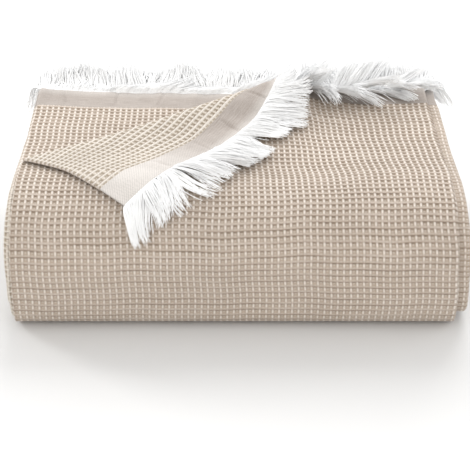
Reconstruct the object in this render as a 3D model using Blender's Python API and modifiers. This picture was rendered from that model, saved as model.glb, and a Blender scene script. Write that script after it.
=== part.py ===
"""A waffle-weave bedspread, folded into a stack, with a corner of its top layer turned over.

The bedspread is one sheet with a plain woven band and a yarn fringe at both ends. It is pleated
across its width into five panels, which makes a bundle of five layers, and the bundle is folded
along its length into eight passes. The passes nest in each other round the front of the stack, so
that the outermost layer covers the whole front, and both fringed ends lie at the back of the top.

A point of the flat sheet is named by u, its distance from the first selvedge, and w, its distance
from the end that lies on top. skewed() finds v, how far along the folds it falls, and place() where
u and v lie in the stack. Units are metres. X runs across the stack, -Y is its front, Z is up, and
the origin is under the middle of the stack.
"""

import math
import random
from collections import namedtuple

import bmesh
import bpy
from mathutils import Vector

# The woven sheet.
CLOTH_THICKNESS = 0.0024
BAND_THICKNESS = 0.0014
BAND_WIDTH = 0.034
BAND_STEP = 0.002
LAYER_PITCH = 0.0034

# The fringe: a narrow strip along each end of the cloth, and the yarn locks that grow from it. The
# shortest and the longest lock are shares of the usual length.
LOCK_LENGTH = 0.057
SHORTEST_LOCK = 0.84
LONGEST_LOCK = 1.12
LOCK_WIDTH = 0.0085
LOCK_WAIST = 0.006
LOCK_LEAN = 0.0045
FRINGE_THICKNESS = 0.0016
STRIP_WIDTH = 0.0035
STRIP_GAP = 0.0005
LOCKS_PER_CELL = 14
LOCK_SEED = 7

# The panels' edges, from the selvedge on top to the one at the inside of the bundle. Between them
# they are pleats. The two reaches are how far the cloth's ends lie behind the top panel's end, on
# the top bundle and on the one under it.
Edge = namedtuple("Edge", "x upper_reach under_reach")
EDGES = (
    Edge(x=-0.2220, upper_reach=-0.026, under_reach=0.024),
    Edge(x=0.2210, upper_reach=0.015, under_reach=0.028),
    Edge(x=-0.2235, upper_reach=0.022, under_reach=0.021),
    Edge(x=0.2330, upper_reach=0.022, under_reach=0.029),
    Edge(x=-0.2270, upper_reach=0.031, under_reach=0.025),
    Edge(x=0.2260, upper_reach=0.027, under_reach=0.030),
)
REACH_BOW = 1.6
SKEW_RUN = 0.185
PANELS = len(EDGES) - 1
BUNDLE = PANELS * LAYER_PITCH
PLEAT_RADIUS = LAYER_PITCH / 2
PLEAT_STEPS = 3
CELLS_PER_PANEL = 2

# The passes in the order in which the cloth runs through them: the level of each, counted in
# bundles from the bottom, and how far its left and right sides stray from the edges above.
Pass = namedtuple("Pass", "level left right")
PASSES = (
    Pass(level=7, left=0.000, right=0.000),
    Pass(level=0, left=-0.002, right=0.008),
    Pass(level=3, left=-0.007, right=0.001),
    Pass(level=4, left=-0.003, right=-0.003),
    Pass(level=5, left=0.002, right=0.001),
    Pass(level=2, left=-0.005, right=0.003),
    Pass(level=1, left=-0.001, right=0.002),
    Pass(level=6, left=0.003, right=0.003),
)
CELLS_PER_PASS = 3
STACK_HEIGHT = len(PASSES) * BUNDLE

# Where the passes turn round, where the top panel ends, and the steps of a front or back turn.
FRONT_Y = -0.058
BACK_Y = 0.120
END_Y = 0.130
FRONT_STEPS = 8
BACK_STEPS = 6

# The front bulges less evenly than a half circle: a long shoulder above, a tight corner below.
FRONT_REACH = 0.092
SHOULDER_POWER = 2.1
CORNER_POWER = 5.0

# How the stack sags: a dip along the middle of its top, and a right side that stands taller.
DIP_Y = 0.015
DIP_WIDTH = 0.095
DIP_DEPTH = 0.020
TILT = 0.012

# The ends splay at the back: layers above a level rise behind a line, and those below it droop.
SPLAY_Y = 0.090
SPLAY_LEVEL = 0.088
SPLAY_RATE = 34.0

# The turned corner: the length of the side and of the end that it takes, the radius of its roll
# at the side and at the end, the height at which it comes to lie beyond the roll, the share of the
# end's slope that its yarn keeps, and the narrowest piece that the creases may cut from a cell.
TURN_SIDE = 0.166
TURN_END = 0.288
TURN_TIGHT = 0.0026
TURN_LOOSE = 0.0110
TURN_STEPS = 6
FLAP_HEIGHT = 0.0062
FLAP_SETTLE = 0.050
FLAP_CELL = 0.023
TURN_SLOPE = math.hypot(1 / TURN_SIDE, 1 / TURN_END)
YARN_STIFFNESS = 0.4
NEAR = 0.001
NARROWEST = 0.0012
ON_LINE = 0.00001
ROUNDING = 1e-9

# The top panel's end bulges along the turned corner and a little past it, and the end of the panel
# under it is hollow.
NEXT_HOLLOW = 0.010
TOP_BULGE = 0.035
TOP_BULGE_CELLS = 14
TOP_BULGE_RUN = TOP_BULGE_CELLS * FLAP_CELL

CREAM = (0.72, 0.62, 0.51, 1.0)
WHITE = (0.90, 0.89, 0.87, 1.0)


def smooth(share):
    """Runs from 0 to 1 with level ends."""
    share = min(max(share, 0.0), 1.0)
    return share * share * (3 - 2 * share)


def panel_run(panel):
    """The flat width of a panel between its edges."""
    return abs(EDGES[panel + 1].x - EDGES[panel].x)


def panel_start(panel):
    """How far a panel starts from the first selvedge."""
    pleats = panel * math.pi * PLEAT_RADIUS
    return pleats + sum(panel_run(before) for before in range(panel))


def across(u):
    """The panel that holds u, its x, and how deep in the bundle it lies."""
    panel = max(k for k in range(PANELS) if u >= panel_start(k) - ROUNDING)
    heading = 1 if panel % 2 == 0 else -1
    past = u - panel_start(panel) - panel_run(panel)
    x = EDGES[panel + 1].x + heading * min(past, 0.0)
    depth = panel * LAYER_PITCH
    if past > 0 and panel < PANELS - 1:
        angle = past / PLEAT_RADIUS
        x += heading * PLEAT_RADIUS * math.sin(angle)
        depth += PLEAT_RADIUS * (1 - math.cos(angle))
    return panel, x, depth


def pass_height(index):
    """The height of the middle of a pass."""
    return (PASSES[index].level + 0.5) * BUNDLE


def pass_ends(index):
    """Where a pass starts and ends in y."""
    start, end = (BACK_Y, FRONT_Y) if index % 2 == 0 else (FRONT_Y, BACK_Y)
    return (END_Y if index == 0 else start), (END_Y if index == len(PASSES) - 1 else end)


def pass_run(index):
    """The length of a pass between its turns."""
    start, end = pass_ends(index)
    return abs(end - start)


def turn_radius(index):
    """The radius at which the middle of the bundle turns from a pass into the next."""
    return abs(pass_height(index + 1) - pass_height(index)) / 2


def pass_start(index):
    """How far a pass starts from the top end, along the middle of the bundle."""
    before = range(index)
    return sum(pass_run(k) for k in before) + sum(math.pi * turn_radius(k) for k in before)


PATH_LENGTH = pass_start(len(PASSES) - 1) + pass_run(len(PASSES) - 1)


def along(v):
    """The place (y, z) and the heading (y, z) of the bundle's middle at v."""
    index = max([0] + [k for k in range(len(PASSES)) if v >= pass_start(k) - ROUNDING])
    heading = -1 if index % 2 == 0 else 1
    past = v - pass_start(index) - pass_run(index)
    end, height = pass_ends(index)[1], pass_height(index)
    if past <= 0 or index == len(PASSES) - 1:
        return end + heading * past, height, heading, 0.0
    radius = turn_radius(index)
    angle = past / radius
    side = 1 if PASSES[index + 1].level > PASSES[index].level else -1
    y = end + heading * radius * math.sin(angle)
    z = height + side * radius * (1 - math.cos(angle))
    return y, z, heading * math.cos(angle), side * math.sin(angle)


def strayed(x, v):
    """x with the sideways stray of the pass at v, which passes smoothly into the next one's."""
    middles = [pass_start(k) + pass_run(k) / 2 for k in range(len(PASSES))]
    place = sum(smooth((v - near) / (far - near)) for near, far in zip(middles, middles[1:]))
    index = min(int(place), len(PASSES) - 2)
    near, far, blend = PASSES[index], PASSES[index + 1], place - index
    left = near.left + blend * (far.left - near.left)
    right = near.right + blend * (far.right - near.right)
    share = (x - EDGES[0].x) / (EDGES[1].x - EDGES[0].x)
    return x + left + share * (right - left)


def turned(x, v):
    """Rolls the top panel's corner over the fold line: what it lies over, and how high."""
    beyond = (1 - v / TURN_SIDE - (x - EDGES[0].x) / TURN_END) / TURN_SLOPE
    if beyond <= 0:
        return x, v, 0.0
    out = Vector((-1 / TURN_END, -1 / TURN_SIDE)) / TURN_SLOPE
    foot = Vector((x, v)) - out * beyond
    fold_share = min(max((foot.x - EDGES[0].x) / TURN_END, 0.0), 1.0)
    radius = TURN_TIGHT + (TURN_LOOSE - TURN_TIGHT) * fold_share
    angle = min(beyond / radius, math.pi)
    flat = max(beyond - math.pi * radius, 0.0)
    lies = foot + out * (radius * math.sin(angle) - flat)
    height = radius * (1 - math.cos(angle))
    height += (FLAP_HEIGHT - height) * smooth(flat / FLAP_SETTLE)
    return lies.x, lies.y, height


def turned_with_yarn(x, v, end):
    """As turned(), but yarn past the cloth's end, which is at v = end, runs on from it and sinks."""
    if v >= end:
        return turned(x, v)
    at_end, inside = Vector(turned(x, end)), Vector(turned(x, end + NEAR))
    ahead = at_end + (at_end - inside) * (end - v) / NEAR
    height = at_end.z + YARN_STIFFNESS * (ahead.z - at_end.z)
    return ahead.x, ahead.y, max(height, min(at_end.z, FLAP_HEIGHT))


def settled(x, y, z):
    """Lets the stack sag: its bulging front, its uneven top and the splayed ends at its back."""
    half = STACK_HEIGHT / 2
    if y < FRONT_Y:
        forward, up = (FRONT_Y - y) / half, (z - half) / half
        reach = math.hypot(forward, up)
        power = 2 + ((SHOULDER_POWER if up > 0 else CORNER_POWER) - 2) * min(reach, 1.0)
        stretch = reach / (abs(forward) ** power + abs(up) ** power) ** (1 / power)
        y, z = FRONT_Y - forward * stretch * FRONT_REACH, half + up * stretch * half
    share = smooth(z / STACK_HEIGHT)
    dip = -DIP_DEPTH * smooth(1 - abs(y - DIP_Y) / DIP_WIDTH)
    z *= 1 + share * (dip + TILT * x / EDGES[1].x)
    past = max(y - SPLAY_Y, 0.0)
    z += SPLAY_RATE * past * past * (z - SPLAY_LEVEL) * share
    return x, y, z


def place(u, v):
    """Where a point of the flat cloth goes."""
    panel, x, depth = across(u)
    height = 0.0
    if panel == 0:
        x, v, height = turned_with_yarn(x, v, skewed(u, 0.0))
    y, z, heading_y, heading_z = along(v)
    inward = depth - height - (BUNDLE - LAYER_PITCH) / 2
    x, y, z = settled(strayed(x, v), y - heading_z * inward, z + heading_y * inward)
    return Vector((x, y, z - (LAYER_PITCH - CLOTH_THICKNESS) / 2))


def end_reach(u, column):
    """How far the cloth's end lies behind the top panel's end, from a column of EDGES."""
    panel, x, _ = across(u)
    near, far = EDGES[panel], EDGES[panel + 1]
    place_across = min(max((x - near.x) / (far.x - near.x), 0.0), 1.0)
    share = place_across ** (REACH_BOW if panel else 1)
    reach = getattr(near, column) + (getattr(far, column) - getattr(near, column)) * share
    if column == "upper_reach" and u < TOP_BULGE_RUN:
        reach += TOP_BULGE * math.sin(math.pi * u / TOP_BULGE_RUN)
    if column == "upper_reach" and panel == 1:
        reach -= NEXT_HOLLOW * math.sin(math.pi * place_across)
    return reach


def skewed(u, w):
    """The v of a point of the flat cloth: near its ends the cloth is skewed and bowed."""
    upper = end_reach(u, "upper_reach") * smooth(1 - w / SKEW_RUN)
    under = end_reach(u, "under_reach") * smooth(1 - (PATH_LENGTH - w) / SKEW_RUN)
    return w - upper + under


def columns():
    """The places across the flat cloth where its mesh has an edge."""
    found = []
    for panel in range(PANELS):
        start, run = panel_start(panel), panel_run(panel)
        found += [start + run * cell / CELLS_PER_PANEL for cell in range(CELLS_PER_PANEL + 1)]
        if panel < PANELS - 1:
            pleat = math.pi * PLEAT_RADIUS
            found += [start + run + pleat * step / PLEAT_STEPS for step in range(1, PLEAT_STEPS)]
    return found


def rows():
    """The places along the flat cloth where its mesh has an edge, its ends and bands left out."""
    found = []
    last = len(PASSES) - 1
    for index in range(last + 1):
        start, run = pass_start(index), pass_run(index)
        cells = range(index == 0, CELLS_PER_PASS + (index < last))
        found += [start + run * cell / CELLS_PER_PASS for cell in cells]
        if index < last:
            turn = math.pi * turn_radius(index)
            steps = FRONT_STEPS if index % 2 == 0 else BACK_STEPS
            found += [start + run + turn * step / steps for step in range(1, steps)]
    return found


def near_corner(mesh):
    """The faces of the flat cloth that reach into the turned corner or the bulging end."""
    found = []
    for face in mesh.faces:
        u = min(corner.co.x for corner in face.verts)
        v = min(corner.co.y for corner in face.verts)
        if u / TURN_END + v / TURN_SIDE < 1 or (u < TOP_BULGE_RUN and v < BAND_WIDTH):
            found.append(face)
    return found


def cut(mesh, faces, point, direction):
    """Cuts the faces of the flat cloth that a line through the point crosses."""
    edges = {edge for face in faces for edge in face.edges}
    corners = {corner for face in faces for corner in face.verts}
    bmesh.ops.bisect_plane(
        mesh,
        geom=list(faces) + list(edges) + list(corners),
        plane_co=(*point, 0.0),
        plane_no=(-direction[1], direction[0], 0.0),
        dist=ON_LINE,
    )


def cut_flap(mesh):
    """Cuts the part of the flat cloth that the turned corner takes into small cells."""
    for cell in range(1, TOP_BULGE_CELLS + 1):
        cut(mesh, near_corner(mesh), (cell * FLAP_CELL, 0.0), (0.0, 1.0))
    for cell in range(1, int(TURN_SIDE / FLAP_CELL)):
        cut(mesh, near_corner(mesh), (0.0, cell * FLAP_CELL), (1.0, 0.0))


def cut_creases(mesh):
    """Cuts the skewed cloth along the creases round which its corner turns."""
    for step in range(TURN_STEPS + 1):
        angle = math.pi * step / TURN_STEPS
        side = TURN_SIDE * (1 - angle * TURN_TIGHT * TURN_SLOPE)
        end = TURN_END * (1 - angle * TURN_LOOSE * TURN_SLOPE)
        cut(mesh, near_corner(mesh), (0.0, side), (end, -side))


def fold(mesh, cuts_corner):
    """Carries a mesh from the flat cloth to where the folds take it."""
    if cuts_corner:
        cut_flap(mesh)
    for vert in mesh.verts:
        vert.co.y = skewed(vert.co.x, vert.co.y)
    if cuts_corner:
        cut_creases(mesh)
        bmesh.ops.remove_doubles(mesh, verts=mesh.verts, dist=NARROWEST)
    bmesh.ops.triangulate(mesh, faces=[face for face in mesh.faces if len(face.verts) > 4])
    for vert in mesh.verts:
        vert.co = place(vert.co.x, vert.co.y)


def flat_grid(u_places, w_places):
    """A flat mesh with an edge at each of the places."""
    mesh = bmesh.new()
    last_u, last_w = len(u_places) - 1, len(w_places) - 1
    bmesh.ops.create_grid(mesh, x_segments=last_u, y_segments=last_w, size=1.0)
    for vert in mesh.verts:
        u = u_places[round((vert.co.x + 1) / 2 * last_u)]
        w = w_places[round((vert.co.y + 1) / 2 * last_w)]
        vert.co = (u, w, 0.0)
    return mesh


def make_cloth(material):
    """The woven sheet with its two bands, which are thinner than the waffle."""
    band = [0.0, BAND_WIDTH - BAND_STEP, BAND_WIDTH]
    far_band = [PATH_LENGTH - place for place in reversed(band)]
    mesh = flat_grid(columns(), band + rows() + far_band)
    weights = mesh.verts.layers.deform.verify()
    for vert in mesh.verts:
        inside = min(vert.co.y, PATH_LENGTH - vert.co.y)
        on_band = inside < BAND_WIDTH - BAND_STEP / 2
        vert[weights][0] = BAND_THICKNESS / CLOTH_THICKNESS if on_band else 1.0
    fold(mesh, cuts_corner=True)
    made = make_object("waffle_cloth", mesh, material, CLOTH_THICKNESS)
    made.vertex_groups.new(name="thickness")
    made.modifiers["Wall"].vertex_group = "thickness"


def lock_roots(mesh, edge):
    """Splits a long outer edge of the flat strip into roots and gaps, and returns the roots."""
    first, last = sorted(vert.co.x for vert in edge.verts)
    w = edge.verts[0].co.y
    pitch = (last - first) / LOCKS_PER_CELL
    split = bmesh.ops.bisect_edges(mesh, edges=[edge], cuts=2 * LOCKS_PER_CELL)["geom_split"]
    verts = [item for item in split if isinstance(item, bmesh.types.BMVert)]
    verts.sort(key=lambda vert: vert.co.x)
    roots = []
    for lock in range(LOCKS_PER_CELL):
        pair = verts[2 * lock:2 * lock + 2]
        for side, vert in zip((-0.5, 0.5), pair):
            vert.co = (first + pitch * (lock + 0.5) + side * LOCK_WIDTH, w, 0.0)
        roots.append(mesh.edges.get(pair))
    return roots


def grow_lock(mesh, root, out, steps, luck):
    """Grows a lock from a root in the direction out, tapering to a point."""
    middle = sum(vert.co.x for vert in root.verts) / 2
    w = root.verts[0].co.y
    length = LOCK_LENGTH * luck.uniform(SHORTEST_LOCK, LONGEST_LOCK)
    lean = LOCK_LEAN * luck.uniform(-1, 1)
    for step in range(1, steps + 1):
        share = step / steps
        width = LOCK_WAIST if step < steps else 0.0
        grown = bmesh.ops.extrude_edge_only(mesh, edges=[root])["geom"]
        root = next(item for item in grown if isinstance(item, bmesh.types.BMEdge))
        ends = sorted(root.verts, key=lambda vert: vert.co.x)
        for side, vert in zip((-0.5, 0.5), ends):
            vert.co = (middle + lean * share + side * width, w + out * length * share, 0.0)
    bmesh.ops.pointmerge(mesh, verts=ends, merge_co=ends[0].co)


def make_fringe(name, upper, material):
    """The fringe of one end: its strip follows the cloth's end through every pleat and fold."""
    luck = random.Random(LOCK_SEED + upper)
    out, end = (-1, 0.0) if upper else (1, PATH_LENGTH)
    inner, outer = end + out * STRIP_GAP, end + out * (STRIP_GAP + STRIP_WIDTH)
    mesh = flat_grid(columns(), sorted((inner, outer)))
    long_edges = [edge for edge in mesh.edges if edge.calc_length() > LOCK_LENGTH]
    for edge in [e for e in long_edges if abs(e.verts[0].co.y - outer) < STRIP_GAP]:
        for root in lock_roots(mesh, edge):
            shown = upper and root.verts[0].co.x < panel_start(2)
            grow_lock(mesh, root, out, 2 if shown else 1, luck)
    fold(mesh, cuts_corner=upper)
    make_object(name, mesh, material, FRINGE_THICKNESS)


def make_object(name, mesh, material, thickness):
    """Turns a folded surface into an object with a wall, half of it on each side."""
    data = bpy.data.meshes.new(name)
    mesh.to_mesh(data)
    mesh.free()
    data.materials.append(material)
    made = bpy.data.objects.new(name, data)
    bpy.data.collections["bedspread"].objects.link(made)
    wall = made.modifiers.new("Wall", "SOLIDIFY")
    wall.thickness = thickness
    wall.offset = 0.0
    wall.use_even_offset = True
    return made


def make_material(name, colour):
    """A dry, matt textile."""
    material = bpy.data.materials.new(name)
    material.use_nodes = True
    shader = material.node_tree.nodes["Principled BSDF"]
    shader.inputs["Base Color"].default_value = colour
    shader.inputs["Roughness"].default_value = 0.95
    shader.inputs["Metallic"].default_value = 0.0
    material.diffuse_color = colour
    return material


def main():
    for old in list(bpy.data.objects):
        bpy.data.objects.remove(old)
    bpy.context.scene.collection.children.link(bpy.data.collections.new("bedspread"))
    make_cloth(make_material("waffle_cotton", CREAM))
    white_yarn = make_material("fringe_yarn", WHITE)
    make_fringe("fringe_upper", True, white_yarn)
    make_fringe("fringe_under", False, white_yarn)


main()
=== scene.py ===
import math

import bpy
import numpy as np
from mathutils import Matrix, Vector


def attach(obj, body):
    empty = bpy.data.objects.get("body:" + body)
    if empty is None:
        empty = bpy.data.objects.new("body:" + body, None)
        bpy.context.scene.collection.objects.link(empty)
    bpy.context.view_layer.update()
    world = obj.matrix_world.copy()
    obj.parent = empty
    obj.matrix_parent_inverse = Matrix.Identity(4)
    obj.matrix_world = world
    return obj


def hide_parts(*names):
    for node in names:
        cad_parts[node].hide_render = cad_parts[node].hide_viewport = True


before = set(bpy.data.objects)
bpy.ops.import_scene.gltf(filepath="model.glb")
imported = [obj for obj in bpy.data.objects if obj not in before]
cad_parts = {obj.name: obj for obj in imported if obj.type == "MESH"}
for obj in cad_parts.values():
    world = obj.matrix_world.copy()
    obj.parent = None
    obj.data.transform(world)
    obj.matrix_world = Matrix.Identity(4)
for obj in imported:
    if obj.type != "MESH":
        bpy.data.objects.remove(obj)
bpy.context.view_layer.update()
print("frame loaded:", ", ".join(sorted(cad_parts)))

# How the bedspread is folded, in metres. These are the sizes that its solids were made from.
# It is pleated across its width into panels, and the bundle of panels is folded into passes.
folding = {
    "layerPitch": 0.0034,
    "panelEdges": (-0.2220, 0.2210, -0.2235, 0.2330, -0.2270, 0.2260),  # x of each edge
    "upperReach": (-0.026, 0.015, 0.022, 0.022, 0.031, 0.027),  # the upper end, behind endY
    "underReach": (0.024, 0.028, 0.021, 0.029, 0.025, 0.030),  # the end under it
    "reachBow": 1.6,
    "skewRun": 0.185,
    "topBulge": 0.035,
    "topBulgeRun": 0.322,
    "nextHollow": 0.010,
    "passLevels": (7, 0, 3, 4, 5, 2, 1, 6),
    "passLeft": (0.0, -0.002, -0.007, -0.003, 0.002, -0.005, -0.001, 0.003),
    "passRight": (0.0, 0.008, 0.001, -0.003, 0.001, 0.003, 0.002, 0.003),
    "frontY": -0.058,
    "backY": 0.120,
    "endY": 0.130,
    "midOfLayer": 0.0012,
}

# How the stack sags and bulges.
sag = {
    "frontReach": 0.092,
    "shoulderPower": 2.1,
    "cornerPower": 7.5,
    "dipY": 0.015,
    "dipWidth": 0.095,
    "dipDepth": 0.020,
    "tilt": 0.012,
    "splayY": 0.090,
    "splayLevel": 0.088,
    "splayRate": 34.0,
    "topWaves": 0.0008,
    "topWaveForm": (19, 1.2, 17, 0.7, 33, -23, 1.0),  # as crossedWaves reads it
    "hollow": (0.060, -0.042),  # x and y of the shallow hollow in front of the turned corner
    "hollowRun": (0.085, 0.034),
    "hollowDepth": 0.0050,
    "frontWaves": 0.0011,
    "frontWaveForm": (17, 1.8, 31, 0.7, -17, 53, 0.0),
    "frontWaveRise": (0.06, 0.045),  # from where the front begins, and from the bottom
}

# The corner of the top panel that is turned over.
corner = {
    "side": 0.166,
    "end": 0.288,
    "tightRoll": 0.0026,
    "looseRoll": 0.0110,
    "restHeight": 0.0062,
    "settleRun": 0.050,
    "yarnStiffness": 0.4,
}

panelEdges = np.array(folding["panelEdges"])
panelCount = len(panelEdges) - 1
pleatRadius = folding["layerPitch"] / 2
pleatRun = math.pi * pleatRadius
panelRuns = np.abs(np.diff(panelEdges))
panelStarts = np.concatenate([[0], np.cumsum(panelRuns + pleatRun)[:-1]])
clothWidth = panelStarts[-1] + panelRuns[-1]

bundle = panelCount * folding["layerPitch"]
passLevels = np.array(folding["passLevels"])
passCount = len(passLevels)
passHeights = (passLevels + 0.5) * bundle
turnRadii = np.append(np.abs(np.diff(passHeights)) / 2, 1.0)
turnSides = np.append(np.sign(np.diff(passHeights)), 0.0)
passStops = np.where(np.arange(passCount) % 2 == 0, folding["frontY"], folding["backY"])
passStops[-1] = folding["endY"]
passRuns = np.full(passCount, folding["backY"] - folding["frontY"])
passRuns[[0, -1]] = folding["endY"] - folding["frontY"]
passStarts = np.concatenate([[0], np.cumsum(passRuns + math.pi * turnRadii)[:-1]])
pathLength = passStarts[-1] + passRuns[-1]
stackHeight = passCount * bundle

tiny = 1e-12  # keeps a division or a root away from nothing
shortStep = 0.0006  # the distance over which a slope of the cloth is taken


# A soft rise from 0 to 1: three times the square of the share less twice its cube.
def smoothStep(share):
    share = np.clip(share, 0, 1)
    return share * share * (3 - 2 * share)


# 1 at a place and less on both sides of it, as a bell curve.
def bell(value, middle, run):
    return np.exp(-(((value - middle) / run) ** 2))


# A vector over its own length.
def unit(vectors):
    return vectors / np.maximum(np.linalg.norm(vectors, axis=-1, keepdims=True), tiny)


# The sine of a, which winds with b, and a weaker straight wave aslant of both. The form gives
# the first wave's rate along a, how far it winds and at what rate along b, and then the second
# wave's height, its rates along a and b, and its start.
def crossedWaves(a, b, form):
    rate, winding, windingRate, height, rateA, rateB, start = form
    winds = np.sin(rate * a + winding * np.sin(windingRate * b))
    return winds + height * np.sin(rateA * a + rateB * b + start)


# The panel that holds u, its x and its depth in the bundle: straight runs with half circles
# of the pleat's radius between them, each run heading the other way. A held panel's own plane
# goes straight on past its edges, for the yarns that leave it.
def acrossPanels(u, held=None):
    panel = np.clip(np.searchsorted(panelStarts, u, side="right") - 1, 0, panelCount - 1)
    if held is not None:
        panel = np.full_like(panel, held)
    heading = np.where(panel % 2 == 0, 1.0, -1.0)
    past = u - panelStarts[panel] - panelRuns[panel]
    bends = (past > 0) & (panel < panelCount - 1) & (held is None)
    angle = np.where(bends, past / pleatRadius, 0.0)
    straight = np.where(bends, 0.0, past)
    x = panelEdges[panel + 1] + heading * (straight + pleatRadius * np.sin(angle))
    depth = panel * folding["layerPitch"] + pleatRadius * (1 - np.cos(angle))
    return panel, x, depth


# Where the middle of the bundle lies at v and where it heads: straight passes to and fro with
# half circles between them, up or down to the next pass's level.
def alongPasses(v):
    index = np.clip(np.searchsorted(passStarts, v, side="right") - 1, 0, passCount - 1)
    heading = np.where(index % 2 == 0, -1.0, 1.0)
    past = v - passStarts[index] - passRuns[index]
    straight = (past <= 0) | (index == passCount - 1)
    radius = turnRadii[index]
    angle = np.where(straight, 0.0, past / radius)
    y = passStops[index] + heading * np.where(straight, past, radius * np.sin(angle))
    z = passHeights[index] + turnSides[index] * radius * (1 - np.cos(angle))
    return y, z, heading * np.cos(angle), turnSides[index] * np.sin(angle)


# The sideways stray of each pass at its left and right, blended smoothly into the next one's.
def strayed(x, v):
    middles = passStarts + passRuns / 2
    gaps = zip(middles, middles[1:])
    place = sum(smoothStep((v - near) / (far - near)) for near, far in gaps)
    left = np.interp(place, np.arange(passCount), folding["passLeft"])
    right = np.interp(place, np.arange(passCount), folding["passRight"])
    return x + left + (x - panelEdges[0]) / (panelEdges[1] - panelEdges[0]) * (right - left)


# How steeply the fold line slants, and the way from it to the corner, in x and v.
cornerSlope = math.hypot(1 / corner["side"], 1 / corner["end"])
cornerOut = (-1 / corner["end"] / cornerSlope, -1 / corner["side"] / cornerSlope)


# The corner rolls over a slanting fold line: a part circle whose radius grows along the line,
# then flat, sinking to its rest height.
def turnedCorner(x, v):
    across = x - panelEdges[0]
    beyond = np.maximum(1 - v / corner["side"] - across / corner["end"], 0) / cornerSlope
    footX, footV = x - cornerOut[0] * beyond, v - cornerOut[1] * beyond
    share = np.clip((footX - panelEdges[0]) / corner["end"], 0, 1)
    radius = corner["tightRoll"] + (corner["looseRoll"] - corner["tightRoll"]) * share
    angle = np.minimum(beyond / radius, math.pi)
    flat = np.maximum(beyond - math.pi * radius, 0)
    gone = radius * np.sin(angle) - flat
    height = radius * (1 - np.cos(angle))
    height += (corner["restHeight"] - height) * smoothStep(flat / corner["settleRun"])
    return footX + cornerOut[0] * gone, footV + cornerOut[1] * gone, height


# Yarn past the cloth's end, which is at v = end, goes on by the cloth's slope there and sinks.
def turnedWithYarn(x, v, end):
    near = 0.001
    inside = np.array(turnedCorner(x, np.maximum(v, end)))
    atEnd, before = np.array(turnedCorner(x, end)), np.array(turnedCorner(x, end + near))
    ahead = atEnd + (atEnd - before) * (end - v) / near
    sunk = atEnd[2] + corner["yarnStiffness"] * (ahead[2] - atEnd[2])
    ahead[2] = np.maximum(sunk, np.minimum(atEnd[2], corner["restHeight"]))
    return np.where(v >= end, inside, ahead)


# The front's half circle is stretched to a superellipse, whose power grows outwards from 2. The
# top dips and tilts by shares of its height, and the ends splay by the square of how far back
# they are.
def settled(x, y, z):
    half = stackHeight / 2
    forward, up = np.maximum(folding["frontY"] - y, 0) / half, (z - half) / half
    reach = np.hypot(forward, up)
    tight = np.where(up > 0, sag["shoulderPower"], sag["cornerPower"]) - 2
    power = 2 + tight * np.minimum(reach, 1)
    across = np.maximum(forward**power + np.abs(up) ** power, tiny) ** (1 / power)
    stretch = np.where(forward > 0, reach / across, 1.0)
    y = np.where(forward > 0, folding["frontY"] - forward * stretch * sag["frontReach"], y)
    z = half + up * stretch * half
    share = smoothStep(z / stackHeight)
    dip = -sag["dipDepth"] * smoothStep(1 - np.abs(y - sag["dipY"]) / sag["dipWidth"])
    z = z * (1 + share * (dip + sag["tilt"] * x / panelEdges[1]))
    past = np.maximum(y - sag["splayY"], 0)
    z = z + sag["splayRate"] * past * past * (z - sag["splayLevel"]) * share
    return x, y, z


# Slow waves that lift the top and push the front in and out, and a shallow hollow in the top,
# alike for all the layers and fading to nothing at the bottom.
def unevened(x, y, z):
    high = smoothStep(z / stackHeight)
    lift = crossedWaves(x, y, sag["topWaveForm"])
    fromStart, fromBottom = sag["frontWaveRise"]
    front = smoothStep((folding["frontY"] - y) / fromStart) * smoothStep(z / fromBottom)
    push = crossedWaves(x, z, sag["frontWaveForm"])
    fromHollow = ((x - sag["hollow"][0]) / sag["hollowRun"][0]) ** 2
    fromHollow = fromHollow + ((y - sag["hollow"][1]) / sag["hollowRun"][1]) ** 2
    lift = sag["topWaves"] * lift - sag["hollowDepth"] * np.exp(-fromHollow)
    return x, y + sag["frontWaves"] * front * push, z + high * lift


# How far the cloth's end lies behind the top panel's end: bowed between the panels' edges.
def endReach(u, reaches, upper, held=None):
    panel, x, _ = acrossPanels(u, held)
    reaches = np.array(reaches)
    place = (x - panelEdges[panel]) / (panelEdges[panel + 1] - panelEdges[panel])
    place = np.clip(place, 0, 1)
    share = place ** np.where(panel > 0, folding["reachBow"], 1.0)
    reach = reaches[panel] + (reaches[panel + 1] - reaches[panel]) * share
    bulge = np.sin(math.pi * np.clip(u / folding["topBulgeRun"], 0, 1)) * folding["topBulge"]
    hollow = np.sin(math.pi * place) * (panel == 1) * folding["nextHollow"]
    return reach + upper * (bulge - hollow)


# The v of a point of the flat cloth: w less the reach of the upper end and more that of the
# lower end, each fading over a short way.
def skewed(u, w, held=None):
    upper = endReach(u, folding["upperReach"], 1, held)
    under = endReach(u, folding["underReach"], 0, held)
    upper = upper * smoothStep(1 - w / folding["skewRun"])
    return w - upper + under * smoothStep(1 - (pathLength - w) / folding["skewRun"])


# Where a point of the flat cloth goes: across the panels, over the turned corner and along the
# passes, as far from the bundle's middle as its layer is, and then settled and unevened. u is
# its distance from the first selvedge and w its distance from the upper end.
def placeCloth(u, w, held=None):
    panel, x, depth = acrossPanels(u, held)
    v = skewed(u, w, held)
    turned = turnedWithYarn(x, v, skewed(u, np.zeros_like(w), held))
    top = panel == 0
    x, v, height = np.where(top, turned[0], x), np.where(top, turned[1], v), turned[2] * top
    y, z, headingY, headingZ = alongPasses(v)
    inward = depth - height - (bundle - folding["layerPitch"]) / 2
    x, y, z = settled(strayed(x, v), y - headingZ * inward, z + headingY * inward)
    x, y, z = unevened(x, y, z)
    return np.stack([x, y, z - folding["layerPitch"] / 2 + folding["midOfLayer"]], axis=-1)


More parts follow.
